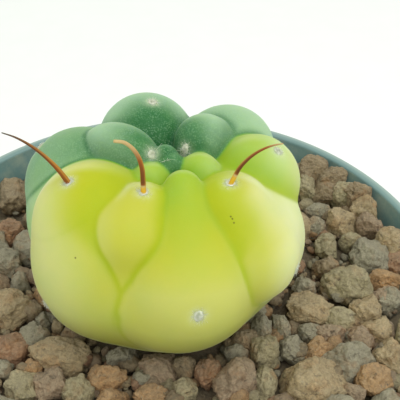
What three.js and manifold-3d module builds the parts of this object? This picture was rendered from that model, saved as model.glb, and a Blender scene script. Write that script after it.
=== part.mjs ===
// A small variegated cactus (Matucana madisoniorum) in a round plastic pot.
// Millimetres, +Z up, origin at the centre of the pot's foot. The front of the plant faces -Y.
import * as THREE from "three";
import { mergeVertices } from "three/addons/utils/BufferGeometryUtils.js";
import Module from "manifold-3d";

const wasm = await Module();
wasm.setup();

// Pot
const potHeight = 76;
const rimRadius = 45;
const rimInnerRadius = 43.3;
const rimBandHeight = 8.5;
const wallTopRadius = 43.9;
const footRadius = 31;
const footRingWidth = 4;
const footDiscRadius = 12;
const footRecess = 1.6;
const floorTop = 3.2;
const floorInnerRadius = 29.2;
const drainHoles = 8;
const drainRadius = 3.5;
const drainCircleRadius = 19.5;
const roundSides = 48;
const clearance = 0.3;

// Filling: potting mix below, a dressing of lava grit on top
const dressingThickness = 11;
const gritBedDrop = 7.3; // bed below the rim, under the middle of the plant
const gritCentreDrop = 5.4; // middle of the stones below the rim
const gritSlope = 0.029; // the bed rises towards +X

// Plant
const bodyCentre = new THREE.Vector3(1.1, 0, potHeight + 10.8);
const bodyColumns = 62;
const bodyRows = 32;
const sharpBlend = 0.35;
const softBlend = 0.8;
const outsideRadius = 25; // clear of the skin all round
const marchSteps = 26;
const marchShare = 0.85;
const taprootTop = -12.5; // below the body's centre
const taprootDepth = 26;
const taprootRadius = 9;
const taprootTip = 1.3;

// Wool pads and spines
const padRadius = 1.05;
const padHeight = 0.5;
const padSeat = 0.22; // room between a pad and the dish it sits in
const spineRadius = 0.42;
const spineTipRadius = 0.15;
const spineRoot = 1.5; // length of a spine below the skin
const spineRoom = 0.16;
const spineSides = 7;
const spineSteps = 12;
const spineTaper = 1.3;

// Swollen ribs and tubercles of the body, from its centre. An ellipsoid has radii [outward, sideways, up],
// or a fourth for its upper half, a heading in degrees round Z and a rise of its outward axis.
// A drop runs from one ball to another.
const lobes = [
  { at: [0, 0, -1], radii: [17.9, 17.9, 16.8, 8.3], blend: softBlend },
  { at: [0.3, 0, -8], radii: [14.5, 14.3, 9.6], blend: softBlend },
  { at: [-7.5, -6.1, -0.7], radii: [11, 10.8, 12.5], heading: -141, blend: softBlend },
  { at: [9.5, -2.5, 0.2], radii: [10.4, 9.6, 11.4], heading: -15, blend: softBlend },
  { at: [8.5, 4, -1.3], radii: [10.3, 10, 11], heading: 25, blend: softBlend },
  { at: [1.6, 9.3, -1.3], radii: [10.3, 10, 11], heading: 80, blend: softBlend },
  { at: [-6, 7.2, -1.3], radii: [10.3, 10, 11], heading: 130, blend: softBlend },
  { at: [-10.1, 1.2, -0.4], radii: [10.5, 8.6, 11.2], heading: 173, blend: softBlend },
  { at: [-3.2, 11.6, 6.5], radii: [7.4, 7.4, 7.7], heading: 104, rise: 20 },
  { at: [8.9, 10.6, 4.9], radii: [7.8, 7.5, 7.4], heading: 52, rise: 20 },
  { at: [5.5, 6.2, 10.5], radii: [4.6, 4, 3.9], heading: 52, rise: -20 },
  { at: [-6.1, 3.6, 10.6], radii: [5.8, 3.8, 3.9], heading: 150 },
  { at: [-12.1, 5, 2.9], radii: [9, 8.6, 9.2], heading: 156 },
  { at: [-9.7, -5.2, 6], radii: [7.7, 7.1, 7.5], heading: -155, blend: softBlend },
  { at: [13.3, 3, 6.6], radii: [6.2, 6.2, 6.4], heading: 14 },
  { at: [2.4, -9.4, -1.4], radii: [10.1, 11.2, 10.3], heading: -75 },
  { at: [4.9, -0.6, 10.1], radii: [2.8, 2.8, 2.6], heading: 20 },
  { at: [-1.6, -2.2, 9.8], radii: [2.6, 2.6, 2.4], heading: -130 },
  { at: [0.2, 1.5, 11.1], radii: [1.6, 1.6, 1.8] },
  { at: [1.1, -0.1, 10.8], radii: [1.7, 1.7, 1.7] },
  { from: [-2.3, -7.8, 9.7], fromRadius: 3.5, to: [-3.8, -10.2, 7.3], toRadius: 5.1 },
  { from: [-3.8, -10.2, 7.3], fromRadius: 5.1, to: [-5.2, -15.9, 1.5], toRadius: 0.5 },
  { from: [2.7, -5.5, 11.1], fromRadius: 2.5, to: [3.3, -11.3, 0.8], toRadius: 9 },
  { from: [9, -6.2, 8.1], fromRadius: 4.9, to: [11.8, -9.1, 2.9], toRadius: 6.4, blend: softBlend },
];

// Wool pads: heading and elevation in degrees, seen from the body's centre
const pads = {
  back: [100, 51],
  backRight: [52, 18],
  innerRight: [42, 72],
  innerLeft: [156, 82],
  outerLeft: [159, 24],
  frontLeft: [-152, 44],
  frontMiddle: [-104.5, 56.6],
  frontRight: [-36, 50],
  outerRight: [5, 38],
  lowFront: [-76.5, 7.5],
  lowRight: [-32, 5],
  lowFrontLeft: [-143, -11],
  lowLeft: [176, -14],
  lowBackLeft: [131, -6],
  lowBack: [82, -6],
  lowBackRight: [27, -6],
};

// Spines: points from the body's centre, the first on the skin
const spines = {
  left: [
    [-12.05, -6.4, 13.1], [-12.7, -6.4, 14.4], [-13.6, -6.2, 15.7], [-14.5, -6, 16.8], [-15.5, -5.7, 17.6],
    [-16.4, -5.4, 18.2], [-17.8, -5.1, 18.9], [-19.2, -4.7, 19.4], [-20, -4.6, 19.6],
  ],
  middle: [
    [-2.15, -8.4, 13.1], [-2.1, -7.9, 15.3], [-2.4, -7.4, 16.7], [-2.8, -7, 17.8], [-3.4, -6.6, 18.6],
    [-4.2, -6.3, 19.2], [-4.7, -6.2, 19.4], [-5.7, -6.2, 19.4],
  ],
  right: [
    [9.1, -6.45, 13.1], [9.5, -6.2, 14.2], [10.2, -6, 15.3], [11, -5.6, 16.4], [12.2, -5.3, 17.1],
    [13.5, -5, 17.8], [14.8, -4.8, 18.1],
  ],
};
const spinePad = { left: "frontLeft", middle: "frontMiddle", right: "frontRight" };

// Stones that show round the plant: x, y, across, deep, and how far it stands above its neighbours
const shownStones = [
  [-14.9, -11.3, 8.4, 5.7, 0], [-15.3, -16.4, 4.6, 4.2, 0], [-11.4, -17.5, 4, 4, 0],
  [-19.6, -16.7, 5, 4, 0], [-23, -13.6, 3, 3, 0], [-22.4, -10, 5.1, 4.8, 0],
  [-18.7, -13.7, 3, 2.6, 0], [-19.2, -7.8, 4, 4.3, 0], [-24.4, -2, 5.8, 5.8, 0.4],
  [-20.9, -2.5, 3, 3, 0], [-13.4, -7.2, 3.7, 3.1, 0.2], [-7.3, -15.5, 5.2, 3.9, 0],
  [-6.4, -18.6, 3.4, 2.6, 0], [-0.8, -18.6, 4.5, 3, 0], [-2.3, -15.8, 2.8, 3, 0],
  [0, -13.7, 5.3, 4.7, 0.2], [-5.3, -12, 4.2, 3.2, 0], [3.8, -13.8, 3, 3.2, 0.2],
  [3.5, -17.5, 3.3, 3.4, 0], [7.2, -14.5, 3.2, 4.4, 0], [11.2, -16.3, 5.7, 6, 0.2],
  [11.4, -11.7, 2.9, 2.6, 0.2], [15.7, -11.2, 4.2, 5.1, 0], [12.7, -9.3, 3.6, 3, 0.4],
  [15.6, -6.7, 3.1, 4.9, 0], [15.5, -16.7, 3.1, 4.9, 0], [18.5, -6.9, 2.9, 4.6, 0],
  [22.9, -3.2, 6.6, 4.7, 0.4], [22.9, -7.6, 3.7, 2.8, -0.2], [19.9, -10.8, 3.6, 3.6, 0],
  [21.9, -16.8, 8.6, 6.9, 0.3], [27.5, -5.4, 4.7, 4, 0], [23.6, -11.4, 4.5, 3, 0],
  [26, -8.1, 3.7, 2.8, 0], [27.3, -13.3, 6.4, 5, 0], [30.2, -9.1, 3.9, 3.6, 0],
  [31.9, -3.9, 4.4, 4.7, 0], [33.2, -7.7, 4.3, 4, 0], [30.6, -16.5, 4.9, 5.1, 0.2],
  [33.7, -12.4, 4.1, 4.4, 0], [36.2, -1.7, 4.1, 3.4, -0.3], [27.5, -18.6, 2.8, 2.8, 0],
  [28, 30.3, 5.1, 4.9, 3], [31.8, 27.6, 5.4, 3.6, 2.6], [29.2, 24.6, 4.5, 4.9, 1],
  [26.3, 25.5, 3, 4.9, 1], [33.2, 23.7, 4.5, 4.5, 1.6], [35.6, 22.4, 4.2, 3.8, 3],
  [36.4, 19.2, 4.3, 5, 1.6], [36, 14.8, 3.9, 3.9, 1], [27.6, 20.1, 4.4, 2.8, 0],
  [31.1, 16.7, 5.7, 5, 0], [26.6, 16.1, 3.6, 3.2, 0], [28, 11.1, 3.6, 4.3, 0],
  [32.5, 12.2, 3.5, 2.8, 0], [38.4, 10.6, 4.5, 4.5, 1.4], [34.9, 8, 6.4, 6.4, 0],
  [38.6, 6.6, 3.4, 3.7, 0.4], [29.9, 1.3, 6.8, 6.5, 0.3], [27.1, 5.9, 4, 4, 0],
  [36, 2.6, 4.9, 3, 0], [36.1, -0.9, 4.2, 2.6, 0], [23, 1.4, 3.6, 3.6, 0],
  [-29.8, 26, 5.3, 6.4, 1.2], [-28, 15.4, 5.7, 3.8, 0.4], [-27, 7.9, 5.5, 4.8, 0],
  [-23.8, 3.8, 2.9, 2.8, 0], [-18.7, -4.4, 2.2, 3.2, 0],
];

// The part of a stone that its neighbours cover, as a share of what shows
const stoneOverlap = 1.12;

// Stones laid by rule over the rest of the bed
const spiralStones = 105;
const spiralReach = 41;
const goldenAngle = Math.PI * (3 - Math.sqrt(5));
const stoneSizes = [5.2, 7.4];
const stoneShift = 0.55;
const stoneDepths = [0.75, 1.15]; // of its size
const stoneLifts = [-0.54, 0.36];
const crowding = 0.3; // no stone nearer to a shown one than this share of their sizes together
const hiddenRadius = 10; // no stones under the plant
const stoneSeed = 20261;

// Form of one stone
const stoneSwells = [0.86, 1.16]; // of each corner
const stoneHalfHeights = [0.34, 0.44]; // of its mean width
const stoneLeastHalfHeight = 0.6;
const stoneFoot = 1.2; // below the bed
const stoneReach = 0.45; // of its width, kept inside the pot
const stoneTurn = 0.5; // radians, for the shown ones
const clearOfStones = 4; // above the rim

// The closed geometry as a solid that can be joined and cut.
function solidOf(geometry) {
  const bare = geometry.clone();
  for (const name of Object.keys(bare.attributes)) {
    if (name !== "position") {
      bare.deleteAttribute(name);
    }
  }
  const merged = mergeVertices(bare, 1e-4);
  const vertProperties = new Float32Array(merged.attributes.position.array);
  const triVerts = new Uint32Array(merged.index.array);
  return new wasm.Manifold(new wasm.Mesh({ numProp: 3, vertProperties, triVerts }));
}

// The solid as a geometry again.
function geometryOf(solid) {
  const mesh = solid.getMesh();
  const geometry = new THREE.BufferGeometry();
  geometry.setAttribute("position", new THREE.BufferAttribute(new Float32Array(mesh.vertProperties), 3));
  geometry.setIndex(new THREE.BufferAttribute(new Uint32Array(mesh.triVerts), 1));
  const faceted = geometry.toNonIndexed();
  faceted.computeVertexNormals();
  return faceted;
}

// Repeatable draws between 0 and 1.
function seededDraws(seed) {
  let state = seed >>> 0;
  return () => {
    state = (state + 0x6d2b79f5) >>> 0;
    let t = state;
    t = Math.imul(t ^ (t >>> 15), t | 1);
    t ^= t + Math.imul(t ^ (t >>> 7), t | 61);
    return ((t ^ (t >>> 14)) >>> 0) / 4294967296;
  };
}

// A draw between two limits.
function between(limits, share) {
  return limits[0] + (limits[1] - limits[0]) * share;
}

// Direction from a heading round Z and an elevation, both in degrees.
function directionOf(heading, elevation) {
  const a = THREE.MathUtils.degToRad(heading);
  const e = THREE.MathUtils.degToRad(elevation);
  return new THREE.Vector3(Math.cos(a) * Math.cos(e), Math.sin(a) * Math.cos(e), Math.sin(e));
}

// Signed distance to an ellipsoid, near enough for blending.
function ellipsoidDistance(point, lobe) {
  const out = directionOf(lobe.heading ?? 0, lobe.rise ?? 0);
  const side = directionOf((lobe.heading ?? 0) + 90, 0);
  const up = new THREE.Vector3().crossVectors(out, side);
  const offset = point.clone().sub(new THREE.Vector3(...lobe.at));
  const local = [offset.dot(out), offset.dot(side), offset.dot(up)];
  const [outward, sideways, lower, upper = lower] = lobe.radii;
  const radii = [outward, sideways, local[2] > 0 ? upper : lower];
  const once = Math.hypot(local[0] / radii[0], local[1] / radii[1], local[2] / radii[2]);
  const twice = Math.hypot(local[0] / radii[0] ** 2, local[1] / radii[1] ** 2, local[2] / radii[2] ** 2);
  return (once * (once - 1)) / Math.max(twice, 1e-6);
}

// Signed distance to a drop between two balls.
function dropDistance(point, lobe) {
  const from = new THREE.Vector3(...lobe.from);
  const along = new THREE.Vector3(...lobe.to).sub(from);
  const offset = point.clone().sub(from);
  const length = along.length();
  const taper = (lobe.fromRadius - lobe.toRadius) / length;
  const lean = Math.sqrt(1 - taper * taper);
  const axial = offset.dot(along) / length;
  const radial = Math.sqrt(Math.max(offset.lengthSq() - axial * axial, 0));
  const side = axial * lean - radial * taper;
  if (side < 0) {
    return Math.hypot(axial, radial) - lobe.fromRadius;
  }
  if (side > length * lean) {
    return Math.hypot(axial - length, radial) - lobe.toRadius;
  }
  return axial * taper + radial * lean - lobe.fromRadius;
}

// Rounded union of distances.
function blended(distances, softness) {
  const nearest = Math.min(...distances);
  const sum = distances.reduce((total, d) => total + Math.exp((nearest - d) / softness), 0);
  return nearest - softness * Math.log(sum);
}

// Signed distance to the plant's skin: the broad lobes melt together, the young tubercles keep sharp creases.
function bodyDistance(point) {
  const soft = [];
  const sharp = [];
  for (const lobe of lobes) {
    const distance = lobe.at ? ellipsoidDistance(point, lobe) : dropDistance(point, lobe);
    (lobe.blend === softBlend ? soft : sharp).push(distance);
  }
  return blended([blended(soft, softBlend), ...sharp], sharpBlend);
}

// Distance of the skin from the body's centre, found from outside inwards.
function bodyRadius(direction) {
  let radius = outsideRadius;
  for (let step = 0; step < marchSteps; step += 1) {
    radius -= marchShare * bodyDistance(direction.clone().multiplyScalar(radius));
  }
  return radius;
}

// A closed skin round the body's centre, as far outside the plant's as asked.
function bodySkin(extra) {
  const positions = [];
  const index = [];
  const top = directionOf(0, 90);
  const bottom = directionOf(0, -90);
  for (let row = 1; row < bodyRows; row += 1) {
    for (let column = 0; column < bodyColumns; column += 1) {
      const direction = directionOf((360 * column) / bodyColumns, 90 - (180 * row) / bodyRows);
      positions.push(...direction.multiplyScalar(bodyRadius(direction) + extra).toArray());
    }
  }
  const topIndex = positions.length / 3;
  positions.push(...top.multiplyScalar(bodyRadius(top) + extra).toArray());
  positions.push(...bottom.multiplyScalar(bodyRadius(bottom) + extra).toArray());
  for (let column = 0; column < bodyColumns; column += 1) {
    const next = (column + 1) % bodyColumns;
    index.push(topIndex, column, next);
    for (let row = 0; row < bodyRows - 2; row += 1) {
      const upper = row * bodyColumns;
      const lower = upper + bodyColumns;
      index.push(upper + column, lower + column, lower + next);
      index.push(upper + column, lower + next, upper + next);
    }
    const last = (bodyRows - 2) * bodyColumns;
    index.push(topIndex + 1, last + next, last + column);
  }
  const geometry = new THREE.BufferGeometry();
  geometry.setAttribute("position", new THREE.Float32BufferAttribute(positions, 3));
  geometry.setIndex(index);
  return geometry.translate(...bodyCentre.toArray());
}

// The thick root that the body narrows into.
function taproot(extra) {
  const profile = [
    [0, taprootTop],
    [taprootRadius + extra, taprootTop],
    [taprootRadius * 0.86 + extra, taprootTop - taprootDepth * 0.3],
    [taprootRadius * 0.45 + extra, taprootTop - taprootDepth * 0.65],
    [taprootTip + extra, taprootTop - taprootDepth],
    [0, taprootTop - taprootDepth - extra],
  ];
  return turned(profile.reverse(), 24).translate(...bodyCentre.toArray());
}

// A body of revolution about Z from [radius, height] points that run from low to high.
function turned(profile, sides = roundSides) {
  const points = profile.map(([radius, height]) => new THREE.Vector2(radius, height));
  return new THREE.LatheGeometry(points, sides).rotateX(Math.PI / 2);
}

// Where a pad sits: a point on the skin, and the way out of the skin there.
function padPlace(name) {
  const direction = directionOf(...pads[name]);
  const point = direction.clone().multiplyScalar(bodyRadius(direction));
  const step = 0.3;
  const slope = [0, 1, 2].map((axis) => {
    const ahead = point.clone().setComponent(axis, point.getComponent(axis) + step);
    const behind = point.clone().setComponent(axis, point.getComponent(axis) - step);
    return bodyDistance(ahead) - bodyDistance(behind);
  });
  return { point: point.add(bodyCentre), out: new THREE.Vector3(...slope).normalize() };
}

// A flattened ball lying on the skin.
function padBall(name, extra) {
  const { point, out } = padPlace(name);
  const ball = new THREE.SphereGeometry(1, 8, 6).rotateX(Math.PI / 2);
  ball.scale(padRadius + extra, padRadius + extra, padHeight + extra);
  ball.applyQuaternion(new THREE.Quaternion().setFromUnitVectors(new THREE.Vector3(0, 0, 1), out));
  return ball.translate(...point.toArray());
}

// The points of a spine, with its root below the skin.
function spineRoute(name) {
  const shown = spines[name].map((point) => new THREE.Vector3(...point).add(bodyCentre));
  const root = shown[0].clone().sub(shown[1]).setLength(spineRoot).add(shown[0]);
  return [root, ...shown];
}

// A round, tapering, gently curved spine.
function spine(name) {
  const path = new THREE.CatmullRomCurve3(spineRoute(name));
  const frames = path.computeFrenetFrames(spineSteps, false);
  const positions = [];
  const index = [];
  for (let step = 0; step <= spineSteps; step += 1) {
    const t = step / spineSteps;
    const centre = path.getPointAt(t);
    const radius = spineRadius + (spineTipRadius - spineRadius) * t ** spineTaper;
    for (let side = 0; side < spineSides; side += 1) {
      const turn = (2 * Math.PI * side) / spineSides;
      const point = centre.clone();
      point.addScaledVector(frames.normals[step], radius * Math.cos(turn));
      point.addScaledVector(frames.binormals[step], radius * Math.sin(turn));
      positions.push(...point.toArray());
    }
  }
  for (let side = 0; side < spineSides; side += 1) {
    const next = (side + 1) % spineSides;
    for (let step = 0; step < spineSteps; step += 1) {
      const low = step * spineSides;
      const high = low + spineSides;
      index.push(low + side, low + next, high + next, low + side, high + next, high + side);
    }
    if (side > 0 && next > 0) {
      const end = spineSteps * spineSides;
      index.push(0, next, side, end, end + side, end + next);
    }
  }
  const geometry = new THREE.BufferGeometry();
  geometry.setAttribute("position", new THREE.Float32BufferAttribute(positions, 3));
  geometry.setIndex(index);
  return geometry;
}

// The plain straight hole that a spine's root stands in.
function spineHole(name) {
  const [root, skin, next] = spineRoute(name);
  const up = skin.clone().sub(root).normalize();
  const start = root.clone().addScaledVector(up, -spineRoom);
  const end = next.clone();
  const length = start.distanceTo(end);
  const hole = new THREE.CylinderGeometry(spineRadius + spineRoom, spineRadius + spineRoom, length, 10);
  hole.applyQuaternion(new THREE.Quaternion().setFromUnitVectors(new THREE.Vector3(0, 1, 0), up));
  return hole.translate(...start.add(end).multiplyScalar(0.5).toArray());
}

// Inner radius of the pot at a height.
function innerRadiusAt(height) {
  const share = (height - floorTop) / (potHeight - floorTop);
  return floorInnerRadius + (rimInnerRadius - floorInnerRadius) * share;
}

// The space inside the pot between two heights, a little clear of the wall.
function potSpace(low, high) {
  return turned([
    [0, low],
    [innerRadiusAt(low) - clearance, low],
    [innerRadiusAt(high) - clearance, high],
    [0, high],
  ]);
}

function pot() {
  const lip = (rimRadius - rimInnerRadius) / 2;
  const lipMiddle = rimInnerRadius + lip;
  const lipArc = [0, 45, 90, 135, 180].map((angle) => {
    const a = THREE.MathUtils.degToRad(angle);
    return [lipMiddle + lip * Math.cos(a), potHeight - lip + lip * Math.sin(a)];
  });
  const shell = turned([
    [0, 0],
    [footDiscRadius, 0],
    [footDiscRadius + footRecess, footRecess],
    [footRadius - footRingWidth - footRecess, footRecess],
    [footRadius - footRingWidth, 0],
    [footRadius - 1, 0],
    [footRadius, 1],
    [wallTopRadius - 0.2, potHeight - rimBandHeight],
    [rimRadius - 0.3, potHeight - rimBandHeight + 0.6],
    ...lipArc,
    [floorInnerRadius, floorTop],
    [0, floorTop],
  ]);
  let solid = solidOf(shell);
  const holeLength = 3 * floorTop;
  for (let k = 0; k < drainHoles; k += 1) {
    const turn = (2 * Math.PI * k) / drainHoles;
    const hole = new THREE.CylinderGeometry(drainRadius, drainRadius, holeLength, 20).rotateX(Math.PI / 2);
    hole.translate(drainCircleRadius * Math.cos(turn), drainCircleRadius * Math.sin(turn), 0);
    solid = solid.subtract(solidOf(hole));
  }
  return solid;
}

// Every stone of the dressing: place, size, turn and its own seed for the lumps.
function stonePlan() {
  const draw = seededDraws(stoneSeed);
  const plan = shownStones.map(([x, y, across, deep, lift], k) => {
    const turn = stoneTurn * (draw() - 0.5);
    return { x, y, across: across * stoneOverlap, deep: deep * stoneOverlap, lift, turn, seed: k + 1 };
  });
  for (let k = 0; k < spiralStones; k += 1) {
    const reach = spiralReach * Math.sqrt((k + 0.5) / spiralStones);
    const angle = k * goldenAngle;
    const size = between(stoneSizes, draw() ** 1.5);
    const x = reach * Math.cos(angle) + stoneShift * 2 * (draw() - 0.5);
    const y = reach * Math.sin(angle) + stoneShift * 2 * (draw() - 0.5);
    const deep = size * between(stoneDepths, draw());
    const lift = between(stoneLifts, draw());
    const turn = Math.PI * draw();
    const shown = plan.slice(0, shownStones.length);
    const crowded = shown.some((near) => {
      const widths = size + (near.across + near.deep) / 2;
      return Math.hypot(near.x - x, near.y - y) < crowding * widths;
    });
    const hidden = Math.hypot(x - bodyCentre.x, y - bodyCentre.y) < hiddenRadius;
    if (!crowded && !hidden) {
      plan.push({ x, y, across: size, deep, lift, turn, seed: 1000 + k });
    }
  }
  return plan;
}

// One angular stone, its foot sunk in the bed.
function stone(plan) {
  const draw = seededDraws(stoneSeed + plan.seed);
  const geometry = mergeVertices(bareIcosahedron(), 1e-4);
  const position = geometry.attributes.position;
  const width = (plan.across + plan.deep) / 2;
  const height = between(stoneHalfHeights, draw()) * width + stoneLeastHalfHeight;
  const middle = potHeight - gritCentreDrop + gritSlope * plan.x + plan.lift;
  const bed = potHeight - gritBedDrop + gritSlope * plan.x;
  const reach = innerRadiusAt(middle) - clearance - stoneReach * Math.min(plan.across, plan.deep);
  const inward = Math.min(1, reach / Math.hypot(plan.x, plan.y));
  for (let k = 0; k < position.count; k += 1) {
    const swell = between(stoneSwells, draw());
    const point = new THREE.Vector3().fromBufferAttribute(position, k).multiplyScalar(swell);
    const drop = point.z < 0 ? Math.max(height, middle - bed + stoneFoot) : height;
    point.set((point.x * plan.across) / 2, (point.y * plan.deep) / 2, point.z * drop);
    point.applyAxisAngle(new THREE.Vector3(0, 0, 1), plan.turn);
    point.add(new THREE.Vector3(plan.x * inward, plan.y * inward, middle));
    position.setXYZ(k, point.x, point.y, point.z);
  }
  return geometry;
}

function bareIcosahedron() {
  const geometry = new THREE.IcosahedronGeometry(1, 0);
  geometry.deleteAttribute("normal");
  geometry.deleteAttribute("uv");
  return geometry;
}

// The room that the plant takes in the filling.
const plantRoom = solidOf(bodySkin(clearance)).add(solidOf(taproot(clearance)));

function gritDressing() {
  const low = potHeight - gritBedDrop - dressingThickness;
  const high = potHeight - gritBedDrop;
  const bed = potSpace(low, high);
  const position = bed.attributes.position;
  for (let k = 0; k < position.count; k += 1) {
    if (position.getZ(k) > (low + high) / 2) {
      position.setZ(k, position.getZ(k) + gritSlope * position.getX(k));
    }
  }
  const stones = stonePlan().map((plan) => solidOf(stone(plan)));
  const heap = wasm.Manifold.union([solidOf(bed), ...stones]);
  const inside = solidOf(potSpace(low, potHeight + clearOfStones));
  const cut = heap.intersect(inside).subtract(plantRoom);
  const pieces = cut.decompose().sort((a, b) => b.volume() - a.volume());
  return pieces[0];
}

function pottingMix() {
  const high = potHeight - gritBedDrop - dressingThickness - clearance;
  return solidOf(potSpace(floorTop + clearance, high)).subtract(plantRoom);
}

function cactusBody() {
  let solid = solidOf(bodySkin(0)).add(solidOf(taproot(0)));
  for (const name of Object.keys(pads)) {
    solid = solid.subtract(solidOf(padBall(name, padSeat)));
  }
  for (const name of Object.keys(spines)) {
    solid = solid.subtract(solidOf(spineHole(name)));
  }
  return solid;
}

function woolPad(name) {
  const spineName = Object.keys(spinePad).find((key) => spinePad[key] === name);
  const ball = solidOf(padBall(name, 0));
  return spineName ? ball.subtract(solidOf(spineHole(spineName))) : ball;
}

const potted = new THREE.Group();

function addPiece(name, geometry, color, roughness) {
  const material = new THREE.MeshStandardMaterial({ color, roughness, metalness: 0, flatShading: true });
  const mesh = new THREE.Mesh(geometry, material);
  mesh.name = name;
  potted.add(mesh);
}

addPiece("pot", geometryOf(pot()), 0x4f6f70, 0.5);
addPiece("potting_mix", geometryOf(pottingMix()), 0x4a3a2c, 0.95);
addPiece("grit_dressing", geometryOf(gritDressing()), 0x93816a, 0.9);
addPiece("cactus_body", geometryOf(cactusBody()), 0xa9c03c, 0.45);
for (const name of Object.keys(pads)) {
  addPiece("wool_pad_" + name, geometryOf(woolPad(name)), 0xe6e4cf, 0.95);
}
for (const name of Object.keys(spines)) {
  addPiece("spine_" + name, spine(name), 0x9a4a1e, 0.4);
}

export default potted;
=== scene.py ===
# A small variegated cactus (Matucana madisoniorum) in a round plastic pot, dressed with lava grit.
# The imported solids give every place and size, and this script gives each piece its fine form and finish.
# The shapes below are worked out in millimetres and made in metres. +Z is up, and the front faces -Y.
import math

import bmesh
import bpy
import numpy as np
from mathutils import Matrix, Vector, noise


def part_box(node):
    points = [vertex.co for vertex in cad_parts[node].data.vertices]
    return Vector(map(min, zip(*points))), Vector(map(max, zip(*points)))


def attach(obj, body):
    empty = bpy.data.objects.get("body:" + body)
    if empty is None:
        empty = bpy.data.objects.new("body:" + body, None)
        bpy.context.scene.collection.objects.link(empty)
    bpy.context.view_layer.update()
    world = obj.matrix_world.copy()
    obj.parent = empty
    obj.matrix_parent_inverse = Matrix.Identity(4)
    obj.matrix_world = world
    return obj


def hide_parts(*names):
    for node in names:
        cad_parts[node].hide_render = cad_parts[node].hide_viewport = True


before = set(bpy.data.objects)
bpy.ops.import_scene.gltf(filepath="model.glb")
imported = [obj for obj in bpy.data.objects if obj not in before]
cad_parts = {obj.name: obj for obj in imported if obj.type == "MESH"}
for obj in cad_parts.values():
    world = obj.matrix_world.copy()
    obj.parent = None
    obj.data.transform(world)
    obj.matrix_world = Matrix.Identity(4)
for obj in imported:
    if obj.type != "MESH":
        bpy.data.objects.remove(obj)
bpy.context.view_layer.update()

mm = 0.001
potLow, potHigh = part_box("pot")
rimHeight = potHigh.z / mm
rimRadius = (potHigh.x - potLow.x) / 2 / mm


# working parts shared by all pieces
def toLinear(hexColour):
    channels = [int(hexColour[k:k + 2], 16) / 255 for k in (1, 3, 5)]
    return [c / 12.92 if c <= 0.04045 else ((c + 0.055) / 1.055) ** 2.4 for c in channels] + [1.0]


def cellScale(size):
    # the scale of a texture whose cells are this wide
    return 1 / (size * mm)


def connect(tree, node, inputs):
    # each input, by name or number or in the node's own order, gets a socket to join or a value to hold
    for name, value in inputs.items() if isinstance(inputs, dict) else enumerate(inputs):
        if isinstance(value, bpy.types.NodeSocket):
            tree.links.new(value, node.inputs[name])
        else:
            node.inputs[name].default_value = value


def addNode(tree, kind, inputs=(), stops=(), out=0, **settings):
    # the output out of a new node; stops are a colour ramp's
    node = tree.nodes.new("ShaderNode" + kind)
    for name, value in settings.items():
        setattr(node, name, value)
    connect(tree, node, inputs)
    if stops:
        ramp = node.color_ramp.elements
        while len(ramp) < len(stops):
            ramp.new(1)
        for element, (place, hexColour) in zip(ramp, stops):
            element.position = place
            element.color = toLinear(hexColour)
    return node.outputs[out]


def newMaterial(name, shine):
    # a bare Principled surface; shine holds what is the same all over it
    material = bpy.data.materials.new(name)
    material.use_nodes = True
    tree = material.node_tree
    tree.nodes.clear()
    shader = addNode(tree, "BsdfPrincipled", shine).node
    tree.links.new(shader.outputs[0], tree.nodes.new("ShaderNodeOutputMaterial").inputs["Surface"])
    return material, tree, shader


def addObject(name, data):
    thing = bpy.data.objects.new(name, data)
    bpy.context.scene.collection.objects.link(thing)
    return thing


def addMesh(name, points, faces):
    mesh = bpy.data.meshes.new(name)
    mesh.from_pydata((np.asarray(points) * mm).tolist(), [], [list(face) for face in faces])
    return addObject(name, mesh)


def makePiece(name, points, faces, material, slot, nodes=(), attributes=()):
    piece = addMesh(name, points, faces)
    for label, values in dict(attributes).items():
        layer = piece.data.attributes.new(label, "FLOAT", "POINT")
        layer.data.foreach_set("value", np.asarray(values, np.float32))
    piece.data.shade_smooth()
    piece.data.materials.append(material)
    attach(piece, "root")
    if nodes:
        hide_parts(*nodes)
    return piece


def joined(parts):
    # several (points, faces) as one
    points, faces, start = [], [], 0
    for partPoints, partFaces in parts:
        points.append(np.asarray(partPoints, float))
        faces.extend([start + k for k in face] for face in partFaces)
        start += len(partPoints)
    return np.concatenate(points), faces


def seededDraws(seed):
    # the same repeatable draws as in the solids, so that the fine stones lie where theirs do
    mask = 0xFFFFFFFF
    state = seed & mask

    def draw():
        nonlocal state
        state = (state + 0x6D2B79F5) & mask
        t = ((state ^ (state >> 15)) * (state | 1)) & mask
        t ^= (t + (((t ^ (t >> 7)) * (t | 61)) & mask)) & mask
        return ((t ^ (t >> 14)) & mask) / 4294967296

    return draw


def between(limits, share):
    return limits[0] + (limits[1] - limits[0]) * share


def direction(heading, elevation):
    a, e = math.radians(heading), math.radians(elevation)
    return np.array([math.cos(a) * math.cos(e), math.sin(a) * math.cos(e), math.sin(e)])


def unit(ways):
    return ways / np.linalg.norm(ways, axis=-1, keepdims=True)


def spun(points, angle):
    # turned about the upright
    c, s = math.cos(angle), math.sin(angle)
    return points @ np.array([(c, s, 0), (-s, c, 0), (0, 0, 1)])


def ringFaces(rings, sides, start=0):
    # the faces between rings of points that follow one another
    return [(low + k, low + (k + 1) % sides, low + sides + (k + 1) % sides, low + sides + k)
            for low in range(start, start + (rings - 1) * sides, sides) for k in range(sides)]


def turned(profile, sides):
    # a closed body of revolution from (radius, height) points that start and end on the axis
    turn = np.arange(sides) * 2 * math.pi / sides
    points = [(0, 0, profile[0][1]), (0, 0, profile[-1][1])]
    for radius, height in profile[1:-1]:
        points.extend((radius * math.cos(a), radius * math.sin(a), height) for a in turn)
    faces = ringFaces(len(profile) - 2, sides, 2)
    last = len(points) - sides
    for k in range(sides):
        after = (k + 1) % sides
        faces += [(0, 2 + after, 2 + k), (1, last + k, last + after)]
    return np.array(points, float), faces


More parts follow.
